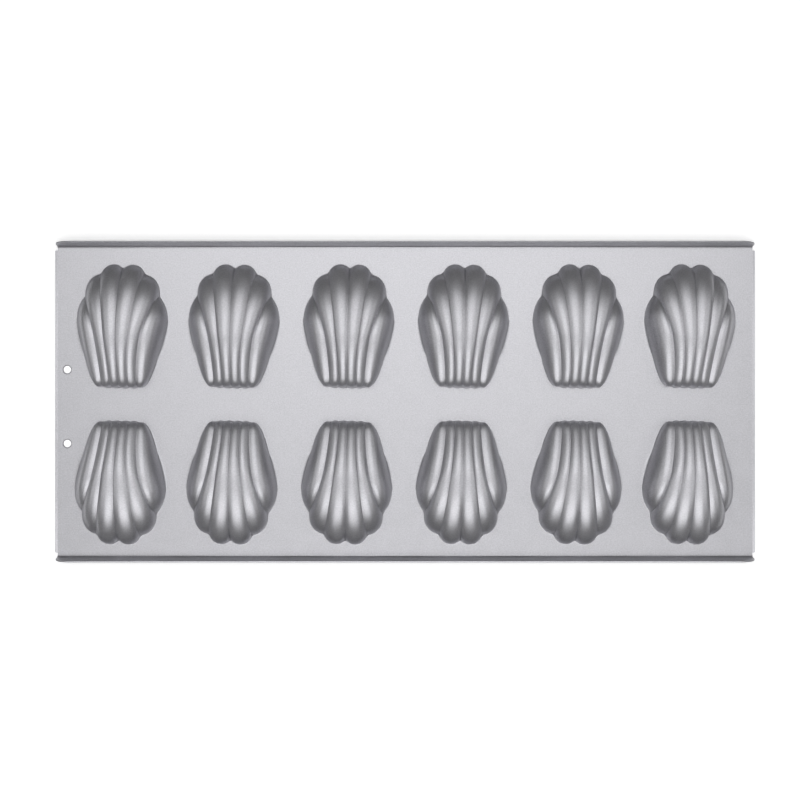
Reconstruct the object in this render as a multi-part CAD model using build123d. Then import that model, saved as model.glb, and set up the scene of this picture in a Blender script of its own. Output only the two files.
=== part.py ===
from build123d import *
import math
import os

# A baking sheet with twelve scallop shell cups, lying on its flat face with the shells
# standing up. X runs along the sheet, Y across it from front to rear, and Z points up.
# The origin is in the middle of the face that the sheet rests on. Millimetres.

# The sheet
sheet_thickness = 0.8

# The turned-up flanges along the two long sides
flange_rise = 7.2
flange_lean_angle = 76.0
flange_bend_radius = 1.2
flange_corner_radius = 4.6

# The narrow turned-up lips along the two short sides
lip_rise = 1.0
lip_lean_angle = 45.0
lip_bend_radius = 0.5

# The hanging strip along the left end, with its two holes
hole_diameter = 4.2
hole_spacing = 42.3
hole_from_left_end = 5.3
hole_shift = -2.85
hole_edge_margin = 1.2

# The shell cups
cup_length = 70.9
cup_width = 51.8
cup_depth = 16.0
crest_from_narrow_end = 30.0
cup_turn = 1.3

# The flat sheet left between the cups and around them, and how far the cups stand off centre
column_gap = 13.7
end_column_gap = 11.9
row_gap = 19.4
end_margin = 10.65
side_margin = 6.9
pattern_shift = -1.7
row_sidestep = 0.55

# The sheet's flat face, worked out from the cups that it carries
column_pitch = cup_width + column_gap
end_column_pitch = cup_width + end_column_gap
plate_length = 3 * column_pitch + 2 * end_column_pitch + cup_width + 2 * end_margin
plate_width = 2 * cup_length + row_gap + 2 * side_margin
hanging_strip_width = hole_from_left_end + hole_diameter / 2 + hole_edge_margin

# Three outlines of a cup, each from its centre line to its side: the narrow end seen from
# above, the arch halfway, and the wide end seen from above. Each has eight points: a valley,
# the crest of the first flute, a valley, the crest of the second, a valley, two handles that
# pull the third flute's flank, and its foot. Across is a share of half the cup's width.
# Reach is a share of the way from the crest to that end, and height a share of the depth.
narrow_across_shares = (0.0, 0.095, 0.190, 0.284, 0.378, 0.560, 0.693, 0.826)
narrow_reach_shares = (0.970, 1.0, 0.970, 0.998, 0.966, 1.100, 0.717, 0.333)
arch_across_shares = (0.0, 0.140, 0.270, 0.388, 0.500, 0.640, 0.860, 0.940)
arch_height_shares = (0.950, 1.0, 0.900, 0.905, 0.765, 0.875, 0.660, 0.0)
wide_across_shares = (0.0, 0.265, 0.471, 0.730, 0.805, 0.857, 1.0, 1.0)
wide_reach_shares = (0.915, 0.985, 0.846, 0.758, 0.548, 0.509, 0.400, 0.220)

# How much of its height a cup loses between the crest line and its narrow end wall, how the
# fall steepens on the way, and how squarely the top meets that wall
narrow_fall_share = 0.55
narrow_fall_power = 1.5
narrow_wall_power = 12
narrow_wall_roundness = 3

# How far inside the shell the cavity lies at each of the eight points, in sheet thicknesses
inset_shares = (1.7, 1.0, 1.7, 1.0, 1.7, 1.0, 1.0, 1.0)

# The tilts of the sections that a shell is skinned through, from narrow end to wide end
section_tilts = (-90, -78, -62, -42, -20, 0, 20, 42, 62, 78, 90)

os.makedirs("parts", exist_ok=True)


def save(solid, name):
    """Writes one node."""
    export_step(solid, f"parts/{name}.step")


def half_outline(across_shares, out_shares, out_size, inset):
    """The points of half an outline, drawn in towards the crest axis by the inset."""
    half_width = cup_width / 2
    points = []
    for across_share, out_share, inset_share in zip(across_shares, out_shares, inset_shares):
        across = half_width * across_share
        out = out_size * out_share
        depth = inset * inset_share
        lean_across = across / half_width**2
        lean_out = out / out_size**2
        steepness = math.hypot(lean_across, lean_out)
        across -= depth * lean_across / steepness
        out -= depth * lean_out / steepness
        points.append((across, max(out, 0)))
    return points


def upright_share(tilt):
    """How much of its height a section keeps when it is tilted about the crest axis."""
    end_turn = abs(math.sin(math.radians(tilt)))
    if tilt > 0:
        return math.sqrt(1 - end_turn**2)
    fall = narrow_fall_share * end_turn**narrow_fall_power
    wall = (1 - end_turn**narrow_wall_power) ** (1 / narrow_wall_roundness)
    return (1 - fall) * wall


def section_points(tilt, inset):
    """One section of a shell, tilted about the crest axis, from its centre to its right foot."""
    narrow_reach = crest_from_narrow_end
    wide_reach = cup_length - crest_from_narrow_end
    narrow = half_outline(narrow_across_shares, narrow_reach_shares, narrow_reach, inset)
    arch = half_outline(arch_across_shares, arch_height_shares, cup_depth, inset)
    wide = half_outline(wide_across_shares, wide_reach_shares, wide_reach, inset)
    end_turn = math.sin(math.radians(tilt))
    points = []
    for narrow_point, arch_point, wide_point in zip(narrow, arch, wide):
        widening = (wide_point[0] - narrow_point[0]) / 2
        flare = (wide_point[0] + narrow_point[0]) / 2 - arch_point[0]
        across = arch_point[0] + widening * end_turn + flare * end_turn**2
        end_out = wide_point[1] if tilt > 0 else narrow_point[1]
        points.append((across, end_out * end_turn, arch_point[1] * upright_share(tilt)))
    return points


def flute_arc(start, crest, end):
    """A smooth arc over one flute, close to a circle's, from valley to valley."""
    start, crest, end = Vector(start), Vector(crest), Vector(end)
    chord = end - start
    bulge = crest - (start + end) / 2
    roundness = 2 * bulge.length / chord.length
    along = chord * (1 - roundness**2) / 3
    out = bulge * 4 / 3
    return Edge.make_bezier(start, start + along + out, end - along + out, end)


def section_wire(tilt, inset):
    """The six flute arcs of one section, from the left foot to the right foot."""
    right = section_points(tilt, inset)
    left = [(-x, y, z) for x, y, z in reversed(right)]
    return Wire(
        [
            Edge.make_bezier(*left[:4]),
            flute_arc(*left[3:6]),
            flute_arc(*left[5:]),
            flute_arc(*right[:3]),
            flute_arc(*right[2:5]),
            Edge.make_bezier(*right[4:]),
        ]
    )


def shell_skin(inset):
    """The faces of one side of a shell, and the wire of its flat foot."""
    skin = Shell.make_loft([section_wire(tilt, inset) for tilt in section_tilts])
    foot_edges = [e for e in skin.edges() if e.bounding_box().max.Z < sheet_thickness / 100]
    return skin.faces(), Wire(foot_edges)


def bent_strip(rise, lean_angle, bend_radius, length):
    """A strip of sheet along X that leaves the plate's edge level and bends up and outwards."""
    outer_radius = bend_radius + sheet_thickness
    along = math.cos(math.radians(lean_angle))
    up = math.sin(math.radians(lean_angle))
    straight = (rise - outer_radius * (1 - along)) / up

    def bend_point(radius, angle):
        turn = math.radians(angle)
        return (radius * math.sin(turn), outer_radius - radius * math.cos(turn))

    outer_start, outer_middle, outer_end = (
        bend_point(outer_radius, angle) for angle in (0, lean_angle / 2, lean_angle)
    )
    inner_start, inner_middle, inner_end = (
        bend_point(bend_radius, angle) for angle in (0, lean_angle / 2, lean_angle)
    )
    outer_tip = (outer_end[0] + straight * along, outer_end[1] + straight * up)
    inner_tip = (inner_end[0] + straight * along, inner_end[1] + straight * up)
    profile = make_face(
        [
            ThreePointArc(outer_start, outer_middle, outer_end),
            Line(outer_end, outer_tip),
            Line(outer_tip, inner_tip),
            Line(inner_tip, inner_end),
            ThreePointArc(inner_end, inner_middle, inner_start),
            Line(inner_start, outer_start),
        ]
    )
    return extrude(Plane.YZ * profile, amount=length / 2, both=True)


def long_flange():
    """A long flange, its two free corners rounded, standing off the rear edge of the plate."""
    strip = bent_strip(flange_rise, flange_lean_angle, flange_bend_radius, plate_length)
    free_corners = [
        edge
        for edge in strip.edges()
        if abs(edge.length - sheet_thickness) < sheet_thickness / 100
        and edge.center().Z > flange_rise / 2
    ]
    strip = fillet(free_corners, flange_corner_radius)
    return Pos(0, plate_width / 2, 0) * strip


def short_lip():
    """The narrow lip along the left end, set between the two long flanges."""
    strip = bent_strip(lip_rise, lip_lean_angle, lip_bend_radius, plate_width)
    return Pos(-plate_length / 2, 0, 0) * Rot(0, 0, 90) * strip


def column_places():
    """The places of the six columns along the sheet, from left to right."""
    inner = column_pitch / 2
    middle = inner + column_pitch
    outer = middle + end_column_pitch
    return [-outer, -middle, -inner, inner, middle, outer]


def cup_places():
    """The name of each cup and its place on the sheet's resting face."""
    crest_beyond_middle = cup_length / 2 - crest_from_narrow_end
    places = {}
    for row, row_turn in (("rear", 0), ("front", 180)):
        for number, column in enumerate(column_places(), 1):
            places[f"{row}_cup_{number}"] = (
                Pos(0, pattern_shift, 0)
                * Rot(0, 0, row_turn)
                * Pos(column + row_sidestep, (row_gap + cup_length) / 2, 0)
                * Rot(0, 0, -cup_turn)
                * Pos(0, -crest_beyond_middle, 0)
            )
    return places


def hanging_holes():
    """The outlines of the two hanging holes."""
    circle = Wire(Edge.make_circle(hole_diameter / 2))
    along = hole_from_left_end - plate_length / 2
    return [Pos(along, hole_shift + side * hole_spacing / 2, 0) * circle for side in (-1, 1)]


def flat_sheet(from_left_end, to_left_end, openings):
    """The flat sheet between two distances from its left end, without the openings."""
    length = to_left_end - from_left_end
    middle = (from_left_end + to_left_end - plate_length) / 2
    outline = Pos(middle, 0, 0) * Wire.make_rect(length, plate_width)
    return extrude(Face(outline, openings), amount=sheet_thickness, dir=(0, 0, 1))


outer_faces, outer_foot = shell_skin(0)
inner_faces, inner_foot = shell_skin(sheet_thickness)
foot_ring = Face(outer_foot, [inner_foot])
shell_cup = Solid(Shell([*outer_faces, *inner_faces, foot_ring]))

cup_openings = []
for name, place in cup_places().items():
    save(place * Pos(0, 0, sheet_thickness) * shell_cup, name)
    cup_openings.append(place * inner_foot)
save(flat_sheet(hanging_strip_width, plate_length, cup_openings), "flat_plate")
save(flat_sheet(0, hanging_strip_width, hanging_holes()), "hanging_strip")

rear_flange = long_flange()
save(rear_flange, "rear_flange")
save(Rot(0, 0, 180) * rear_flange, "front_flange")
left_lip = short_lip()
save(left_lip, "left_lip")
save(Rot(0, 0, 180) * left_lip, "right_lip")
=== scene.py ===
import math

import bmesh
import bpy
from bpy.props import FloatProperty, FloatVectorProperty, IntProperty, PointerProperty
from mathutils import Matrix, Vector


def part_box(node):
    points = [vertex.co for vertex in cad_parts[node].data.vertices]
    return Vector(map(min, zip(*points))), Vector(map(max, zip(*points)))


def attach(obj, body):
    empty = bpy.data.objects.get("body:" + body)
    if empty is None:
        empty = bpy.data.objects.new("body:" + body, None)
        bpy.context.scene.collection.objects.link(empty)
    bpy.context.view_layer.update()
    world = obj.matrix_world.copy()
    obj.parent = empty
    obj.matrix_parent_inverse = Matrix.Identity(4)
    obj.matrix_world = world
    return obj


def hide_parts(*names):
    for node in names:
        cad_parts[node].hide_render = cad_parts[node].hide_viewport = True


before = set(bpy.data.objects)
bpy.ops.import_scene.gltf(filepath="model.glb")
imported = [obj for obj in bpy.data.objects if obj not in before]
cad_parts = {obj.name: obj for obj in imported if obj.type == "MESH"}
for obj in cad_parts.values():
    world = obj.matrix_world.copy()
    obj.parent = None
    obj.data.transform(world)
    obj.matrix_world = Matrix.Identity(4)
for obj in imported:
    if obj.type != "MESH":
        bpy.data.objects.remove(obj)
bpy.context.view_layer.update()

bl_info = {
    "name": "Shell Cup Baking Sheet",
    "version": (1, 0, 0),
    "blender": (4, 5, 0),
    "location": "View3D > Sidebar > Baking Sheet",
    "description": "Presses a coated baking sheet with two rows of fluted shell cups",
    "category": "Add Mesh",
}

MILLIMETRE = 0.001
PLATE_LOW, PLATE_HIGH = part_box("flat_plate")
STRIP_LOW, STRIP_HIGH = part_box("hanging_strip")
SHEET_THICKNESS = PLATE_HIGH.z - PLATE_LOW.z
SHEET_LENGTH = PLATE_HIGH.x - STRIP_LOW.x
SHEET_WIDTH = PLATE_HIGH.y - PLATE_LOW.y
ROW_TURNS = {"rear": 0.0, "front": math.pi}
COLUMNS = range(1, 7)
FLUTES_PER_SIDE = 3
BODY = "root"


# Sizes and colours

def size_property(name, description, millimetres):
    """A length that a user may change."""
    return FloatProperty(
        name=name,
        description=description,
        default=millimetres * MILLIMETRE,
        unit="LENGTH",
        precision=5,
    )


def angle_property(name, description, degrees):
    """An angle that a user may change."""
    return FloatProperty(
        name=name, description=description, default=math.radians(degrees), unit="ROTATION"
    )


def power_property(name, description, watts):
    """The power of a lamp."""
    return FloatProperty(name=name, description=description, default=watts, unit="POWER")


def share_table(name, description, shares):
    """The eight points of an outline, as shares of the sizes that they follow."""
    return FloatVectorProperty(name=name, description=description, size=len(shares), default=shares)


class ShellSizes(bpy.types.PropertyGroup):
    """Sizes of the shells"""

    length: size_property("Length", "From the narrow end of a shell to its wide end", 70.9)
    width: size_property("Width", "Across the widest place of a shell", 51.8)
    depth: size_property("Depth", "How far a shell stands over the flat sheet", 16.0)
    crest: size_property("Crest", "From the narrow end to the highest line across a shell", 30.0)
    collar: size_property("Collar", "Flat sheet drawn in round each shell", 2.6)
    foot: size_property("Foot", "Height over which the foot of a shell is rounded", 2.2)
    narrow_fall_share: FloatProperty(
        name="Narrow Fall",
        description="How much of its height a shell loses before its narrow end wall",
        default=0.55,
        subtype="FACTOR",
    )
    narrow_fall_power: FloatProperty(
        name="Narrow Fall Power",
        description="How the fall steepens on the way to the narrow end",
        default=1.5,
    )
    narrow_wall_power: FloatProperty(
        name="Narrow Wall Power",
        description="How close to the narrow end the top meets the end wall",
        default=24.0,
    )
    narrow_wall_roundness: FloatProperty(
        name="Narrow Wall Roundness",
        description="How squarely the top meets the narrow end wall",
        default=3.0,
    )
    turn: angle_property("Turn", "How far each shell is turned on the sheet", 1.3)
    narrow_across_shares: share_table(
        "Narrow Across",
        "Narrow end seen from above, as shares of half the width",
        (0.0, 0.095, 0.190, 0.284, 0.378, 0.560, 0.693, 0.826),
    )
    narrow_reach_shares: share_table(
        "Narrow Reach",
        "Narrow end seen from above, as shares of the way from the crest line to that end",
        (0.970, 1.0, 0.970, 0.998, 0.966, 1.100, 0.717, 0.333),
    )
    arch_across_shares: share_table(
        "Arch Across",
        "Arch over the crest line, as shares of half the width",
        (0.0, 0.140, 0.270, 0.388, 0.500, 0.640, 0.860, 0.940),
    )
    arch_height_shares: share_table(
        "Arch Height",
        "Arch over the crest line, as shares of the depth",
        (0.950, 1.0, 0.900, 0.905, 0.765, 0.875, 0.660, 0.0),
    )
    wide_across_shares: share_table(
        "Wide Across",
        "Wide end seen from above, as shares of half the width",
        (0.0, 0.265, 0.471, 0.730, 0.805, 0.857, 1.0, 1.0),
    )
    wide_reach_shares: share_table(
        "Wide Reach",
        "Wide end seen from above, as shares of the way from the crest line to that end",
        (0.915, 0.985, 0.846, 0.758, 0.548, 0.509, 0.400, 0.220),
    )
    columns: IntProperty(name="Columns", description="Faces across each flute", default=16, min=4)
    rows: IntProperty(
        name="Rows", description="Faces from the crest line to each end", default=60, min=8
    )
    collar_rows: IntProperty(
        name="Collar Rows", description="Faces across the collar", default=6, min=3
    )
    foot_passes: IntProperty(
        name="Foot Passes", description="Passes that round the foot", default=4, min=0
    )


class SheetSizes(bpy.types.PropertyGroup):
    """Sizes of the flat sheet, its holes, its flanges and its lips"""

    hole_diameter: size_property("Hole Diameter", "Width of a hanging hole", 4.2)
    hole_spacing: size_property("Hole Spacing", "Between the middles of the hanging holes", 42.3)
    hole_from_left_end: size_property("Hole From End", "From the left end to a hole's middle", 5.3)
    hole_shift: size_property("Hole Shift", "How far the holes lie off the sheet's middle", -2.85)
    hole_rim: size_property("Hole Rim", "Width of the rounded rim of a hole", 0.65)
    hole_land: size_property("Hole Land", "Flat ring kept round the rim of a hole", 0.3)
    flange_rise: size_property("Flange Rise", "Height of a long flange", 7.2)
    flange_lean: angle_property("Flange Lean", "How far a long flange is bent up", 76.0)
    flange_bend: size_property("Flange Bend", "Inside radius of a long flange's bend", 1.2)
    flange_corner: size_property("Flange Corner", "How far a free corner is rounded along", 9.0)
    flange_corner_drop: size_property("Flange Corner Drop", "How far it is rounded down", 3.6)
    lip_rise: size_property("Lip Rise", "Height of a short lip", 0.58)
    lip_lean: angle_property("Lip Lean", "How far a short lip is bent up", 25.0)
    lip_bend: size_property("Lip Bend", "Inside radius of a short lip's bend", 0.5)
    lip_corner: size_property("Lip Corner", "Radius of a lip's free corners", 0.5)
    lip_setback: size_property("Lip Setback", "From the end of a lip to the long flange", 1.2)
    edge_rounding: size_property("Edge Rounding", "Rounding of the sheet's cut edges", 0.12)


class CoatSettings(bpy.types.PropertyGroup):
    """The look of the coat"""

    colour: FloatVectorProperty(
        name="Colour",
        description="Colour of the satin coat",
        subtype="COLOR",
        default=(0.480, 0.478, 0.502),
        min=0.0,
        max=1.0,
    )
    metallic: FloatProperty(name="Metallic", description="How metallic the coat is", default=0.9)
    roughness: FloatProperty(name="Roughness", description="Roughness of the coat", default=0.37)
    grain: size_property("Grain", "Size of the coat's fine grain", 0.7)
    mottle: size_property("Mottle", "Size of the coat's broad mottling", 9.0)


class StudioSettings(bpy.types.PropertyGroup):
    """The floor, the camera and the light"""

    floor_colour: FloatVectorProperty(
        name="Floor",
        description="Colour of the floor",
        subtype="COLOR",
        default=(0.93, 0.93, 0.93),
        min=0.0,
        max=1.0,
    )
    floor_glow: FloatProperty(
        name="Floor Glow", description="What the camera sees added to the floor", default=0.3
    )
    camera_height: size_property("Camera Height", "Height of the camera over the sheet", 550.0)
    view_width: size_property("View Width", "Width of the view at the sheet", 457.1)
    aim_x: size_property("Aim X", "Where the middle of the view meets the sheet, along it", -2.9)
    aim_y: size_property("Aim Y", "Where the middle of the view meets the sheet, across it", 0.9)
    overhead_power: power_property("Overhead", "Power of the overhead lamp", 3.6)
    rear_power: power_property("Rear", "Power of the lamp behind", 4.0)
    front_power: power_property("Front", "Power of the lamp in front", 6.2)
    left_power: power_property("Left", "Power of the lamp on the left", 2.4)
    right_power: power_property("Right", "Power of the lamp on the right", 3.0)
    surround: FloatProperty(
        name="Surround", description="Brightness of the studio walls", default=0.12
    )


# Node trees

class TreeMaker:
    """Adds nodes to a tree. A value is another node's socket or a constant."""

    def __init__(self, tree):
        self.tree = tree

    def input(self, name, kind, default=None):
        """A named input of the tree."""
        interface = self.tree.interface
        socket = interface.new_socket(name, in_out="INPUT", socket_type="NodeSocket" + kind)
        if default is not None:
            socket.default_value = default
        source = self.tree.nodes.get("Group Input") or self.tree.nodes.new("NodeGroupInput")
        return source.outputs[name]

    def output(self, name, kind, value):
        """A named output of the tree."""
        self.tree.interface.new_socket(name, in_out="OUTPUT", socket_type="NodeSocket" + kind)
        sink = self.tree.nodes.get("Group Output") or self.tree.nodes.new("NodeGroupOutput")
        self.tree.links.new(value, sink.inputs[name])

    def join(self, socket, value):
        """Links a socket to another, or gives it a constant."""
        if isinstance(value, bpy.types.NodeSocket):
            self.tree.links.new(value, socket)
        elif value is not None:
            socket.default_value = value

    def node(self, kind, *values, result=0, **settings):
        """A node with its settings, its inputs filled in order, and one of its outputs."""
        made = self.tree.nodes.new(kind)
        for key, value in settings.items():
            setattr(made, key, value)
        sockets = [socket for socket in made.inputs if socket.enabled]
        for socket, value in zip(sockets, values):
            self.join(socket, value)
        return [socket for socket in made.outputs if socket.enabled][result]

    def group(self, tree, **values):
        """A node of another tree, its inputs filled by name."""
        made = self.tree.nodes.new("GeometryNodeGroup")
        made.node_tree = tree
        for name, value in values.items():
            self.join(made.inputs[name.replace("_", " ")], value)
        return made.outputs[0]

    def math(self, operation, *values):
        """A number worked out from numbers."""
        return self.node("ShaderNodeMath", *values, operation=operation)

    def vector(self, operation, *values):
        """A vector worked out from vectors."""
        return self.node("ShaderNodeVectorMath", *values, operation=operation)

    def split(self, value):
        """The three numbers of a vector."""
        made = self.tree.nodes.new("ShaderNodeSeparateXYZ")
        self.join(made.inputs[0], value)
        return made.outputs

    def combine(self, x, y, z):
        """A vector of three numbers."""
        return self.node("ShaderNodeCombineXYZ", x, y, z)

    def between(self, way, first, second):
        """A point on the way from the first point to the second."""
        step = self.vector("SCALE", self.vector("SUBTRACT", second, first), way)
        return self.vector("ADD", first, step)

    def pick(self, condition, when_false, when_true, kind):
        """One of two values."""
        return self.node("GeometryNodeSwitch", condition, when_false, when_true, input_type=kind)


def new_geometry_tree(name):
    """The maker of an empty Geometry Nodes tree."""
    return TreeMaker(bpy.data.node_groups.new(name, "GeometryNodeTree"))


# The shells

def outline_tree(name, across_shares, out_shares):
    """A tree that gives the shares of an outline's point with a given number."""
    maker = new_geometry_tree(name)
    number = maker.input("number", "Int", 0)
    switch = maker.tree.nodes.new("GeometryNodeIndexSwitch")
    switch.data_type = "VECTOR"
    while len(switch.index_switch_items) < len(across_shares):
        switch.index_switch_items.new()
    maker.join(switch.inputs["Index"], number)
    for index, (across, out) in enumerate(zip(across_shares, out_shares)):
        switch.inputs[str(index)].default_value = (across, out, 0.0)
    maker.output("shares", "Vector", switch.outputs[0])
    return maker.tree


def section_point_tree(shell):
    """A point on the right half of one section, which is tilted about the crest line."""
    maker = new_geometry_tree("section point")
    number = maker.input("number", "Int", 0)
    tilt = maker.input("tilt", "Float", 0.0)
    half_width = maker.input("half width", "Float", 0.0)
    depth = maker.input("depth", "Float", 0.0)
    narrow_reach = maker.input("narrow reach", "Float", 0.0)
    wide_reach = maker.input("wide reach", "Float", 0.0)
    outlines = (
        outline_tree("narrow outline", shell.narrow_across_shares, shell.narrow_reach_shares),
        outline_tree("arch outline", shell.arch_across_shares, shell.arch_height_shares),
        outline_tree("wide outline", shell.wide_across_shares, shell.wide_reach_shares),
    )
    narrow, arch, wide = (maker.split(maker.group(tree, number=number)) for tree in outlines)
    on_wide_side = maker.math("GREATER_THAN", tilt, 0.0)
    turn = maker.math("SINE", tilt)

    widening = maker.math("MULTIPLY", maker.math("SUBTRACT", wide[0], narrow[0]), 0.5)
    end_middle = maker.math("MULTIPLY", maker.math("ADD", wide[0], narrow[0]), 0.5)
    flare = maker.math("SUBTRACT", end_middle, arch[0])
    spread = maker.math("MULTIPLY_ADD", turn, flare, widening)
    across_share = maker.math("MULTIPLY_ADD", turn, spread, arch[0])

    end_share = maker.pick(on_wide_side, narrow[1], wide[1], "FLOAT")
    reach = maker.pick(on_wide_side, narrow_reach, wide_reach, "FLOAT")
    along_share = maker.math("MULTIPLY", end_share, turn)

    end_turn = maker.math("ABSOLUTE", turn)
    steepening = maker.math("POWER", end_turn, shell.narrow_fall_power)
    fall = maker.math("MULTIPLY", steepening, shell.narrow_fall_share)
    wall = maker.math("SUBTRACT", 1.0, maker.math("POWER", end_turn, shell.narrow_wall_power))
    wall = maker.math("POWER", maker.math("MAXIMUM", wall, 0.0), 1.0 / shell.narrow_wall_roundness)
    narrow_upright = maker.math("MULTIPLY", maker.math("SUBTRACT", 1.0, fall), wall)
    upright = maker.pick(on_wide_side, narrow_upright, maker.math("COSINE", tilt), "FLOAT")
    height_share = maker.math("MULTIPLY", arch[1], upright)

    point = maker.combine(
        maker.math("MULTIPLY", across_share, half_width),
        maker.math("MULTIPLY", along_share, reach),
        maker.math("MULTIPLY", height_share, depth),
    )
    maker.output("point", "Vector", point)
    return maker.tree


def curve_point_tree():
    """A point on the way along a curve that is bent by two handles."""
    maker = new_geometry_tree("flute curve")
    start = maker.input("start", "Vector")
    first = maker.input("first", "Vector")
    second = maker.input("second", "Vector")
    end = maker.input("end", "Vector")
    way = maker.input("way", "Float", 0.0)
    middle = maker.between(way, first, second)
    low = maker.between(way, maker.between(way, start, first), middle)
    high = maker.between(way, middle, maker.between(way, second, end))
    maker.output("point", "Vector", maker.between(way, low, high))
    return maker.tree


def flute_handle_tree():
    """The handle near the start of a curve over a flute's crest, which is close to a circle's."""
    maker = new_geometry_tree("flute handle")
    start = maker.input("start", "Vector")
    crest = maker.input("crest", "Vector")
    end = maker.input("end", "Vector")
    chord = maker.vector("SUBTRACT", end, start)
    bulge = maker.vector("SUBTRACT", crest, maker.between(0.5, start, end))
    half_chord = maker.math("MULTIPLY", maker.vector("LENGTH", chord), 0.5)
    roundness = maker.math("DIVIDE", maker.vector("LENGTH", bulge), half_chord)
    narrowing = maker.math("SUBTRACT", 1.0, maker.math("MULTIPLY", roundness, roundness))
    along = maker.vector("SCALE", chord, maker.math("DIVIDE", narrowing, 3.0))
    out = maker.vector("SCALE", bulge, 4.0 / 3.0)
    handle = maker.vector("ADD", maker.vector("ADD", start, along), out)
    maker.output("handle", "Vector", handle)
    return maker.tree


def crowded_way(maker, way, crowding):
    """The same way from 0 to 1, with its steps closer together towards 1."""
    left_over = maker.math("MULTIPLY", way, maker.math("SUBTRACT", 1.0, way))
    return maker.math("MULTIPLY_ADD", left_over, crowding, way)


def flute_point(maker, shell, side_way, tilt, sizes):
    """The place on the right half of a shell, a share of the way from its middle to its foot."""
    slack = 0.001
    flank_crowding = 0.5
    foot_number = 2 * FLUTES_PER_SIDE + 1
    flute_way = maker.math("MULTIPLY", side_way, FLUTES_PER_SIDE)
    whole = maker.math("FLOOR", maker.math("ADD", flute_way, slack))
    flute = maker.math("MINIMUM", whole, FLUTES_PER_SIDE - 1.0)
    even_way = maker.math("SUBTRACT", flute_way, flute)
    is_flank = maker.math("GREATER_THAN", flute, FLUTES_PER_SIDE - 1.5)
    way = maker.pick(is_flank, even_way, crowded_way(maker, even_way, flank_crowding), "FLOAT")
    section = section_point_tree(shell)
    numbers = [maker.math("MULTIPLY_ADD", flute, 2.0, step) for step in (0.0, 1.0, 2.0)]
    start, crest, beyond = (
        maker.group(section, number=number, tilt=tilt, **sizes) for number in numbers
    )
    foot = maker.group(section, number=foot_number, tilt=tilt, **sizes)
    end = maker.pick(is_flank, beyond, foot, "VECTOR")
    handle = flute_handle_tree()
    first = maker.group(handle, start=start, crest=crest, end=end)
    second = maker.group(handle, start=end, crest=crest, end=start)
    first = maker.pick(is_flank, first, crest, "VECTOR")
    second = maker.pick(is_flank, second, beyond, "VECTOR")
    return maker.group(
        curve_point_tree(), start=start, first=first, second=second, end=end, way=way
    )


def collar_edge_point(maker, on_shell, length, width, crest, collar):
    """The place on the collar's smooth outer edge beyond a point of the shell."""
    squareness = 2.5
    to_middle = maker.math("SUBTRACT", maker.math("MULTIPLY", length, 0.5), crest)
    middle = maker.combine(0.0, to_middle, 0.0)
    spoke = maker.vector("SUBTRACT", on_shell, middle)
    fill = 0.0
    for offset, size in zip(maker.split(spoke), (width, length)):
        half = maker.math("MULTIPLY_ADD", size, 0.5, collar)
        share = maker.math("DIVIDE", maker.math("ABSOLUTE", offset), half)
        fill = maker.math("ADD", fill, maker.math("POWER", share, squareness))
    stretch = maker.math("POWER", fill, -1.0 / squareness)
    return maker.vector("ADD", middle, maker.vector("SCALE", spoke, stretch))


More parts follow.
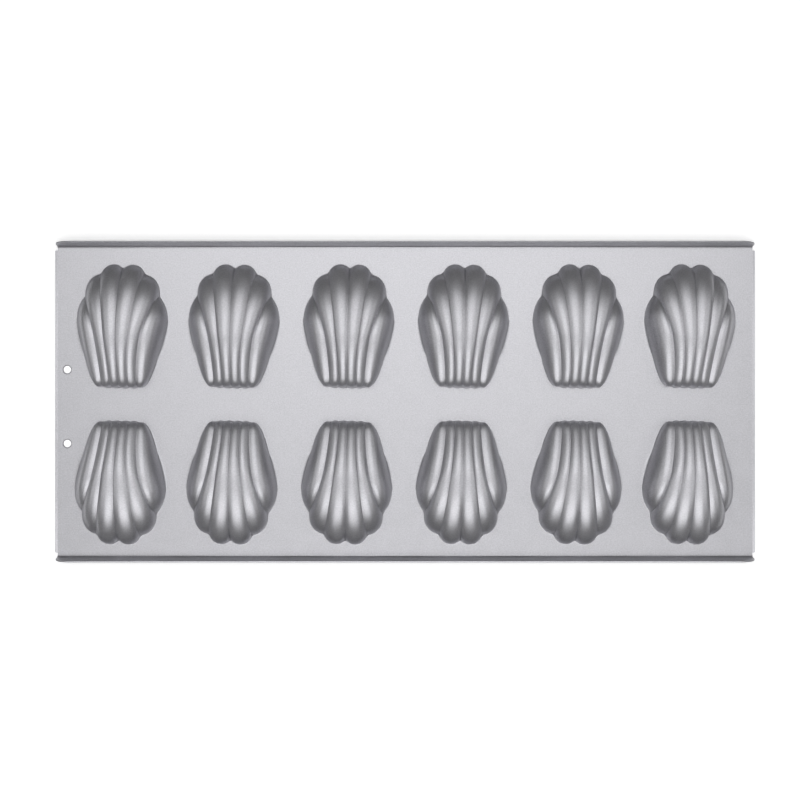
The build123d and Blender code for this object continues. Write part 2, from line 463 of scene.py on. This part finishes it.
def shell_tree(shell):
    """The outer face of one pressed shell with its collar, from a grid of faces."""
    end_crowding = 0.6
    collar_growth = 1.5
    foot_reach_over_collar = 0.7
    merge_distance = 0.01 * MILLIMETRE
    maker = new_geometry_tree("pressed shell")
    length = maker.input("Length", "Float", shell.length)
    width = maker.input("Width", "Float", shell.width)
    depth = maker.input("Depth", "Float", shell.depth)
    crest = maker.input("Crest", "Float", shell.crest)
    collar = maker.input("Collar", "Float", shell.collar)
    foot = maker.input("Foot", "Float", shell.foot)
    columns = maker.input("Columns", "Int", shell.columns)
    rows = maker.input("Rows", "Int", shell.rows)
    collar_rows = maker.input("Collar Rows", "Int", shell.collar_rows)
    foot_passes = maker.input("Foot Passes", "Int", shell.foot_passes)
    turn = maker.input("Turn", "Float", 0.0)
    place = maker.input("Place", "Vector")
    material = maker.input("Material", "Material")

    half_columns = maker.math("MULTIPLY", columns, FLUTES_PER_SIDE)
    all_columns = maker.math("ADD", half_columns, collar_rows)
    all_rows = maker.math("ADD", rows, collar_rows)
    grid = maker.node(
        "GeometryNodeMeshGrid",
        2.0,
        2.0,
        maker.math("MULTIPLY_ADD", all_columns, 2.0, 1.0),
        maker.math("MULTIPLY_ADD", all_rows, 2.0, 1.0),
    )
    position = maker.node("GeometryNodeInputPosition")
    grid_x, grid_y, _ = maker.split(position)

    def ways(coordinate, all_steps, steps):
        """The way from the middle to the foot, and the way from there over the collar."""
        step = maker.math("MULTIPLY", maker.math("ABSOLUTE", coordinate), all_steps)
        to_foot = maker.math("MINIMUM", maker.math("DIVIDE", step, steps), 1.0)
        beyond = maker.math("DIVIDE", maker.math("SUBTRACT", step, steps), collar_rows)
        return to_foot, maker.math("MAXIMUM", beyond, 0.0)

    side_way, side_collar = ways(grid_x, all_columns, half_columns)
    end_way, end_collar = ways(grid_y, all_rows, rows)
    collar_step = maker.math("MAXIMUM", side_collar, end_collar)
    collar_way = maker.math("POWER", collar_step, collar_growth)
    crowded_end_way = crowded_way(maker, end_way, end_crowding)
    steepness = maker.math("MULTIPLY", crowded_end_way, math.pi / 2)
    tilt = maker.math("MULTIPLY", maker.math("SIGN", grid_y), steepness)
    sizes = {
        "half_width": maker.math("MULTIPLY", width, 0.5),
        "depth": depth,
        "narrow_reach": crest,
        "wide_reach": maker.math("SUBTRACT", length, crest),
    }
    across, along, height = maker.split(flute_point(maker, shell, side_way, tilt, sizes))
    mirrored = maker.math("MULTIPLY", across, maker.math("SIGN", grid_x))
    on_shell = maker.combine(mirrored, along, height)
    edge_point = collar_edge_point(maker, on_shell, length, width, crest, collar)
    pressed_position = maker.between(collar_way, on_shell, edge_point)

    marked = maker.node(
        "GeometryNodeStoreNamedAttribute", grid, True, "collar_way", collar_way, data_type="FLOAT"
    )
    pressed = maker.node("GeometryNodeSetPosition", marked, True, pressed_position)
    merged = maker.node("GeometryNodeMergeByDistance", pressed, True, merge_distance)

    over_collar = maker.node("GeometryNodeInputNamedAttribute", "collar_way", data_type="FLOAT")
    height_share = maker.math("DIVIDE", maker.split(position)[2], foot)
    lowness = maker.math("MAXIMUM", maker.math("SUBTRACT", 1.0, height_share), 0.0)
    free = maker.math("LESS_THAN", over_collar, foot_reach_over_collar)
    weight = maker.math("MULTIPLY", maker.math("SQRT", lowness), free)
    rounded = maker.node(
        "GeometryNodeBlurAttribute", position, foot_passes, weight, data_type="FLOAT_VECTOR"
    )
    footed = maker.node("GeometryNodeSetPosition", merged, True, rounded)

    turned = maker.node("GeometryNodeTransform", footed, place, maker.combine(0.0, 0.0, turn))
    smooth = maker.node("GeometryNodeSetShadeSmooth", turned, True, True)
    real = maker.node("GeometryNodeRealizeInstances", smooth)
    coated = maker.node("GeometryNodeSetMaterial", real, True, material)
    maker.output("Geometry", "Geometry", coated)
    return maker.tree


def bake(piece):
    """Turns the object's evaluated shape into its plain mesh and takes its modifiers off."""
    evaluated = piece.evaluated_get(bpy.context.evaluated_depsgraph_get())
    mesh = bpy.data.meshes.new_from_object(evaluated)
    old_mesh = piece.data
    piece.modifiers.clear()
    piece.data = mesh
    bpy.data.meshes.remove(old_mesh)
    mesh.name = piece.name


def new_piece(name, mesh=None):
    """An object at the origin that is linked to the scene."""
    piece = bpy.data.objects.new(name, mesh or bpy.data.meshes.new(name))
    bpy.context.scene.collection.objects.link(piece)
    return piece


def finish_piece(piece, *nodes):
    """Gives a piece its body and hides the nodes that it stands for."""
    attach(piece, BODY)
    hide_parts(*nodes)


def set_inputs(modifier, **values):
    """Sets a Geometry Nodes modifier's inputs, found by name, through their identifiers."""
    sockets = {
        item.name: item.identifier
        for item in modifier.node_group.interface.items_tree
        if item.item_type == "SOCKET" and item.in_out == "INPUT"
    }
    for name, value in values.items():
        modifier[sockets[name]] = value


def press_shell(row, column, tree, shell, coat):
    """One shell, placed where the frame holds its cup."""
    sharp_angle = math.radians(35.0)
    low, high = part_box(f"{row}_cup_{column}")
    middle = (low + high) / 2
    turn = ROW_TURNS[row] - shell.turn
    from_crest_to_widest = (shell.length - shell.crest) * shell.wide_reach_shares[-1]
    from_crest_to_middle = shell.length / 2 - shell.crest
    place = Vector((
        middle.x + math.sin(turn) * from_crest_to_widest,
        middle.y - math.cos(turn) * from_crest_to_middle,
        SHEET_THICKNESS,
    ))
    piece = new_piece(f"{row}_shell_{column}")
    pressing = piece.modifiers.new("pressed shell", "NODES")
    pressing.node_group = tree
    set_inputs(pressing, Place=place, Turn=turn, Material=coat)
    bake(piece)
    wall = piece.modifiers.new("wall", "SOLIDIFY")
    wall.thickness = SHEET_THICKNESS
    wall.offset = -1.0
    bake(piece)
    piece.data.set_sharp_from_angle(angle=sharp_angle)
    return piece


def collar_loop(piece):
    """The points round the upper outer edge of a shell's collar, in order."""
    outermost = 0.999
    mesh = piece.data
    ways = mesh.attributes["collar_way"].data
    on_edge = {
        vertex.index
        for vertex in mesh.vertices
        if ways[vertex.index].value > outermost and vertex.co.z > SHEET_THICKNESS / 2
    }
    beside = {}
    for edge in mesh.edges:
        first, second = edge.vertices
        if first in on_edge and second in on_edge:
            beside.setdefault(first, []).append(second)
            beside.setdefault(second, []).append(first)
    start = min(beside)
    loop = [start]
    previous, current = start, beside[start][0]
    while current != start:
        loop.append(current)
        onward = [vertex for vertex in beside[current] if vertex != previous]
        previous, current = current, onward[0]
    return [mesh.vertices[index].co.copy() for index in loop]


# The flat sheet

def ring(middle_x, middle_y, radius, height):
    """The points of a level circle."""
    points = 64
    turns = (index * math.tau / points for index in range(points))
    return [
        Vector((middle_x + radius * math.cos(turn), middle_y + radius * math.sin(turn), height))
        for turn in turns
    ]


def add_loop(work, points):
    """The vertices and edges of a closed loop."""
    vertices = [work.verts.new(point) for point in points]
    edges = [work.edges.new(pair) for pair in zip(vertices, vertices[1:] + vertices[:1])]
    return vertices, edges


def add_wall(work, upper, lower):
    """The faces between two loops with as many vertices."""
    for index in range(len(upper)):
        following = (index + 1) % len(upper)
        work.faces.new((upper[index], upper[following], lower[following], lower[index]))


def hole_profile(radius, rim, land):
    """How far out and how high each ring of a hole's drawn-in rim lies, from the top."""
    steps = 6
    steepening = 1.5
    drop = SHEET_THICKNESS * 0.85
    rim_end = radius + rim + land
    rings = [(rim_end, SHEET_THICKNESS)]
    for step in range(steps + 1):
        share = step / steps
        height = SHEET_THICKNESS - drop * share**steepening
        rings.append((radius + rim * (1 - share), height))
    return rings + [(radius, 0.0), (rim_end, 0.0)]


def cut_plate(sizes, collar_loops):
    """The flat sheet, open at the collars and pierced by the hanging holes."""
    work = bmesh.new()
    left, right = STRIP_LOW.x, PLATE_HIGH.x
    front, rear = PLATE_LOW.y, PLATE_HIGH.y
    hole_x = left + sizes.hole_from_left_end
    hole_middles = [sizes.hole_shift + side * sizes.hole_spacing / 2 for side in (-1, 1)]
    profile = hole_profile(sizes.hole_diameter / 2, sizes.hole_rim, sizes.hole_land)
    corners = ((left, front, 0.0), (right, front, 0.0), (right, rear, 0.0), (left, rear, 0.0))
    holes = [ring(hole_x, middle_y, profile[0][0], 0.0) for middle_y in hole_middles]
    outlines = [[Vector(corner) for corner in corners], *collar_loops, *holes]
    sides = []
    for height in (SHEET_THICKNESS, 0.0):
        loops = [add_loop(work, [Vector((p.x, p.y, height)) for p in line]) for line in outlines]
        edges = [edge for _, loop_edges in loops for edge in loop_edges]
        bmesh.ops.triangle_fill(work, use_beauty=True, edges=edges)
        sides.append([vertices for vertices, _ in loops])
    upper_loops, lower_loops = sides
    first_hole = len(outlines) - len(holes)
    for upper, lower in zip(upper_loops[:first_hole], lower_loops[:first_hole]):
        add_wall(work, upper, lower)
    hole_loops = zip(hole_middles, upper_loops[first_hole:], lower_loops[first_hole:])
    for middle_y, upper, lower in hole_loops:
        for out, height in profile[1:-1]:
            vertices = [work.verts.new(point) for point in ring(hole_x, middle_y, out, height)]
            add_wall(work, upper, vertices)
            upper = vertices
        add_wall(work, upper, lower)
    bmesh.ops.recalc_face_normals(work, faces=work.faces)
    return finished_mesh(work, "flat_sheet", sharp_degrees=60.0)


def finished_mesh(work, name, sharp_degrees):
    """A mesh of the worked faces, smooth but for its sharp edges."""
    mesh = bpy.data.meshes.new(name)
    for face in work.faces:
        face.smooth = True
    work.to_mesh(mesh)
    work.free()
    mesh.set_sharp_from_angle(angle=math.radians(sharp_degrees))
    return mesh


# The flanges and lips

def bend_rows(rise, lean, bend_radius, corner_run, corner_drop, length):
    """Rows across a bent strip: its upper point, its lower point and half its length there."""
    outer_radius = bend_radius + SHEET_THICKNESS
    straight = (rise - outer_radius * (1 - math.cos(lean))) / math.sin(lean)
    bend_middle = Vector((0.0, outer_radius))
    bend_steps = 10
    corner_step_length = 0.4 * MILLIMETRE
    corner_steps = max(3, round(corner_run / corner_step_length))
    rows = []

    def add_row(turn, beyond, drawn_in):
        along = Vector((math.cos(turn), math.sin(turn)))
        up = Vector((-math.sin(turn), math.cos(turn)))
        upper = bend_middle - up * bend_radius + along * beyond
        lower = bend_middle - up * outer_radius + along * beyond
        rows.append((upper, lower, length / 2 - drawn_in))

    for step in range(bend_steps + 1):
        add_row(lean * step / bend_steps, 0.0, 0.0)
    for step in range(corner_steps + 1):
        turn = math.pi / 2 * step / corner_steps
        beyond = straight - corner_drop * (1 - math.sin(turn))
        add_row(lean, beyond, corner_run * (1 - math.cos(turn)))
    return rows


def bend_strip(name, rows, rounding, place):
    """A bent strip of sheet whose free edges are slightly rounded."""
    cut_edge_angle = math.radians(60.0)
    work = bmesh.new()
    rings = []
    for upper, lower, half_length in rows:
        points = (
            (-half_length, upper),
            (half_length, upper),
            (half_length, lower),
            (-half_length, lower),
        )
        rings.append([work.verts.new((x, out, height)) for x, (out, height) in points])
    work.faces.new(rings[0])
    work.faces.new(rings[-1])
    for first, second in zip(rings, rings[1:]):
        add_wall(work, first, second)
    bmesh.ops.recalc_face_normals(work, faces=work.faces)
    seam = set(rings[0])
    cut_edges = [
        edge
        for edge in work.edges
        if not seam.issuperset(edge.verts) and edge.calc_face_angle(0.0) > cut_edge_angle
    ]
    bmesh.ops.bevel(
        work,
        geom=cut_edges,
        offset=rounding,
        segments=3,
        profile=0.5,
        affect="EDGES",
        clamp_overlap=True,
    )
    bmesh.ops.transform(work, matrix=place, verts=work.verts)
    return finished_mesh(work, name, sharp_degrees=50.0)


# Materials

def coat_material():
    """The satin grey coat, with a fine grain and a faint broad mottling."""
    coat = bpy.context.scene.sheet_coat
    noise_low, noise_high = 0.3, 0.7
    grain_contrast = 0.10
    mottle_contrast = 0.02
    roughness_change = 0.02
    material = bpy.data.materials.new("satin_coat")
    material.use_nodes = True
    maker = TreeMaker(material.node_tree)
    shader = material.node_tree.nodes["Principled BSDF"]
    place = maker.tree.nodes.new("ShaderNodeTexCoord").outputs["Object"]

    def noise(size, detail):
        """A noise whose grains have about this size."""
        made = maker.tree.nodes.new("ShaderNodeTexNoise")
        maker.join(made.inputs["Vector"], place)
        made.inputs["Scale"].default_value = 1.0 / size
        made.inputs["Detail"].default_value = detail
        return made.outputs["Fac"]

    def spread(value, middle, change):
        """The noise as a value that changes this much about its middle."""
        low, high = middle - change, middle + change
        return maker.node("ShaderNodeMapRange", value, noise_low, noise_high, low, high)

    grain = noise(coat.grain, detail=3.0)
    mottle = noise(coat.mottle, detail=2.0)
    grain_shade = spread(grain, 1.0, grain_contrast)
    shade = maker.math("ADD", grain_shade, spread(mottle, 0.0, mottle_contrast))
    maker.join(shader.inputs["Base Color"], maker.vector("SCALE", tuple(coat.colour), shade))
    shader.inputs["Metallic"].default_value = coat.metallic
    roughness = spread(mottle, coat.roughness, roughness_change)
    maker.join(shader.inputs["Roughness"], roughness)
    bump = maker.tree.nodes.new("ShaderNodeBump")
    bump.inputs["Strength"].default_value = 0.35
    bump.inputs["Distance"].default_value = 0.02 * MILLIMETRE
    maker.join(bump.inputs["Height"], grain)
    maker.join(shader.inputs["Normal"], bump.outputs["Normal"])
    return material


def floor_material(studio):
    """A pale floor that keeps the shadows and fades into the white of the background."""
    fade_start = 0.4
    fade_end = 1.2
    material = bpy.data.materials.new("pale_floor")
    material.use_nodes = True
    maker = TreeMaker(material.node_tree)
    shader = material.node_tree.nodes["Principled BSDF"]
    shader.inputs["Base Color"].default_value = (*studio.floor_colour, 1.0)
    shader.inputs["Roughness"].default_value = 0.9
    shader.inputs["Specular IOR Level"].default_value = 0.1
    rays = maker.tree.nodes.new("ShaderNodeLightPath").outputs
    seen = maker.math("MAXIMUM", rays["Is Camera Ray"], rays["Is Transmission Ray"])
    place = maker.tree.nodes.new("ShaderNodeTexCoord").outputs["Object"]
    distance = maker.vector("LENGTH", place)
    glow = maker.node(
        "ShaderNodeMapRange", distance, fade_start, fade_end, studio.floor_glow, 1.0
    )
    shader.inputs["Emission Color"].default_value = (1.0, 1.0, 1.0, 1.0)
    maker.join(shader.inputs["Emission Strength"], maker.math("MULTIPLY", seen, glow))
    return material


# The studio

# The two sizes of each lamp and its place
LAMPS = {
    "overhead": ((1.45, 0.6), (0.0, 0.0, 1.3)),
    "rear": ((1.45, 0.6), (0.0, 0.5, 1.2)),
    "front": ((1.5, 0.6), (0.0, -0.72, 1.1)),
    "left": ((1.2, 0.8), (-1.05, 0.0, 0.85)),
    "right": ((1.2, 0.8), (1.05, 0.0, 0.85)),
}


def add_lamp(name, power, size, place):
    """A soft rectangular lamp that points at the middle of the sheet."""
    lamp = bpy.data.lights.new(name, "AREA")
    lamp.energy = power
    lamp.shape = "RECTANGLE"
    lamp.size, lamp.size_y = size
    holder = bpy.data.objects.new(name, lamp)
    holder.location = place
    to_middle = Vector((0.0, 0.0, 0.0)) - Vector(place)
    holder.rotation_euler = to_middle.to_track_quat("-Z", "Y").to_euler()
    bpy.context.scene.collection.objects.link(holder)


def add_camera(studio):
    """The camera straight above the sheet."""
    camera = bpy.data.cameras.new("camera")
    camera.sensor_width = 36.0
    camera.lens = camera.sensor_width * studio.camera_height / studio.view_width
    holder = bpy.data.objects.new("camera", camera)
    holder.location = (studio.aim_x, studio.aim_y, SHEET_THICKNESS + studio.camera_height)
    bpy.context.scene.collection.objects.link(holder)
    bpy.context.scene.camera = holder


def add_floor(studio):
    """The floor that the sheet lies on."""
    reach = 3.0
    height = -0.05 * MILLIMETRE
    signs = ((-1, -1), (1, -1), (1, 1), (-1, 1))
    corners = [(x * reach, y * reach, height) for x, y in signs]
    mesh = bpy.data.meshes.new("floor")
    mesh.from_pydata(corners, [], [(0, 1, 2, 3)])
    mesh.materials.append(floor_material(studio))
    new_piece("floor", mesh)


def light_world(studio):
    """Dim studio walls that the camera sees as white."""
    world = bpy.data.worlds.new("studio_walls")
    world.use_nodes = True
    bpy.context.scene.world = world
    maker = TreeMaker(world.node_tree)
    rays = maker.tree.nodes.new("ShaderNodeLightPath").outputs
    strength = maker.math("MAXIMUM", rays["Is Camera Ray"], studio.surround)
    background = world.node_tree.nodes["Background"]
    background.inputs["Color"].default_value = (1.0, 1.0, 1.0, 1.0)
    maker.join(background.inputs["Strength"], strength)


# Operators

class SHEET_OT_press_shells(bpy.types.Operator):
    """Press the twelve shells from one tree"""

    bl_idname = "sheet.press_shells"
    bl_label = "Press Shells"

    def execute(self, context):
        shell = context.scene.sheet_shell
        tree = shell_tree(shell)
        coat = coat_material()
        for row in ROW_TURNS:
            for column in COLUMNS:
                piece = press_shell(row, column, tree, shell, coat)
                finish_piece(piece, f"{row}_cup_{column}")
        return {"FINISHED"}


class SHEET_OT_cut_plate(bpy.types.Operator):
    """Cut the flat sheet that holds the shells, with its hanging holes"""

    bl_idname = "sheet.cut_plate"
    bl_label = "Cut Flat Sheet"

    def execute(self, context):
        names = [f"{row}_shell_{column}" for row in ROW_TURNS for column in COLUMNS]
        loops = [collar_loop(bpy.data.objects[name]) for name in names]
        plate = new_piece("flat_sheet", cut_plate(context.scene.sheet_sizes, loops))
        plate.data.materials.append(bpy.data.materials["satin_coat"])
        finish_piece(plate, "flat_plate", "hanging_strip")
        return {"FINISHED"}


class SHEET_OT_bend_flanges(bpy.types.Operator):
    """Bend up the two long flanges"""

    bl_idname = "sheet.bend_flanges"
    bl_label = "Bend Flanges"

    def execute(self, context):
        sizes = context.scene.sheet_sizes
        middle = (STRIP_LOW.x + PLATE_HIGH.x) / 2
        rows = bend_rows(
            sizes.flange_rise,
            sizes.flange_lean,
            sizes.flange_bend,
            sizes.flange_corner,
            sizes.flange_corner_drop,
            SHEET_LENGTH,
        )
        for name, edge, turn in (("rear", PLATE_HIGH.y, 0.0), ("front", PLATE_LOW.y, math.pi)):
            place = Matrix.Translation((middle, edge, 0.0)) @ Matrix.Rotation(turn, 4, "Z")
            mesh = bend_strip(f"{name}_long_flange", rows, sizes.edge_rounding, place)
            mesh.materials.append(bpy.data.materials["satin_coat"])
            finish_piece(new_piece(mesh.name, mesh), f"{name}_flange")
        return {"FINISHED"}


class SHEET_OT_bend_lips(bpy.types.Operator):
    """Bend up the two short lips"""

    bl_idname = "sheet.bend_lips"
    bl_label = "Bend Lips"

    def execute(self, context):
        sizes = context.scene.sheet_sizes
        length = SHEET_WIDTH - 2 * sizes.lip_setback
        rows = bend_rows(
            sizes.lip_rise,
            sizes.lip_lean,
            sizes.lip_bend,
            sizes.lip_corner,
            sizes.lip_corner,
            length,
        )
        ends = (("left", STRIP_LOW.x, math.pi / 2), ("right", PLATE_HIGH.x, -math.pi / 2))
        for name, edge, turn in ends:
            place = Matrix.Translation((edge, 0.0, 0.0)) @ Matrix.Rotation(turn, 4, "Z")
            mesh = bend_strip(f"{name}_short_lip", rows, sizes.edge_rounding, place)
            mesh.materials.append(bpy.data.materials["satin_coat"])
            finish_piece(new_piece(mesh.name, mesh), f"{name}_lip")
        return {"FINISHED"}


class SHEET_OT_set_stage(bpy.types.Operator):
    """Set up the floor, the lamps and the camera"""

    bl_idname = "sheet.set_stage"
    bl_label = "Set Stage"

    def execute(self, context):
        studio = context.scene.sheet_studio
        add_floor(studio)
        light_world(studio)
        for name, (size, place) in LAMPS.items():
            add_lamp(name, getattr(studio, f"{name}_power"), size, place)
        add_camera(studio)
        context.scene.view_settings.view_transform = "Standard"
        return {"FINISHED"}


class SHEET_PT_baking_sheet(bpy.types.Panel):
    """Lists the steps that make the baking sheet and their sizes"""

    bl_idname = "SHEET_PT_baking_sheet"
    bl_label = "Baking Sheet"
    bl_space_type = "VIEW_3D"
    bl_region_type = "UI"
    bl_category = "Baking Sheet"

    def draw(self, context):
        for operator in OPERATORS:
            self.layout.operator(operator.bl_idname)
        for name in SETTINGS:
            settings = getattr(context.scene, name)
            box = self.layout.box()
            for key in settings.bl_rna.properties.keys():
                if key not in ("name", "rna_type"):
                    box.prop(settings, key)


OPERATORS = (
    SHEET_OT_press_shells,
    SHEET_OT_cut_plate,
    SHEET_OT_bend_flanges,
    SHEET_OT_bend_lips,
    SHEET_OT_set_stage,
)
SETTINGS = {
    "sheet_shell": ShellSizes,
    "sheet_sizes": SheetSizes,
    "sheet_coat": CoatSettings,
    "sheet_studio": StudioSettings,
}


def register():
    for cls in (*SETTINGS.values(), *OPERATORS, SHEET_PT_baking_sheet):
        bpy.utils.register_class(cls)
    for name, cls in SETTINGS.items():
        setattr(bpy.types.Scene, name, PointerProperty(type=cls))


def unregister():
    for name in SETTINGS:
        delattr(bpy.types.Scene, name)
    for cls in (SHEET_PT_baking_sheet, *reversed(OPERATORS), *reversed(SETTINGS.values())):
        bpy.utils.unregister_class(cls)


def main():
    register()
    bpy.ops.sheet.press_shells()
    bpy.ops.sheet.cut_plate()
    bpy.ops.sheet.bend_flanges()
    bpy.ops.sheet.bend_lips()
    bpy.ops.sheet.set_stage()


if __name__ == "__main__":
    main()
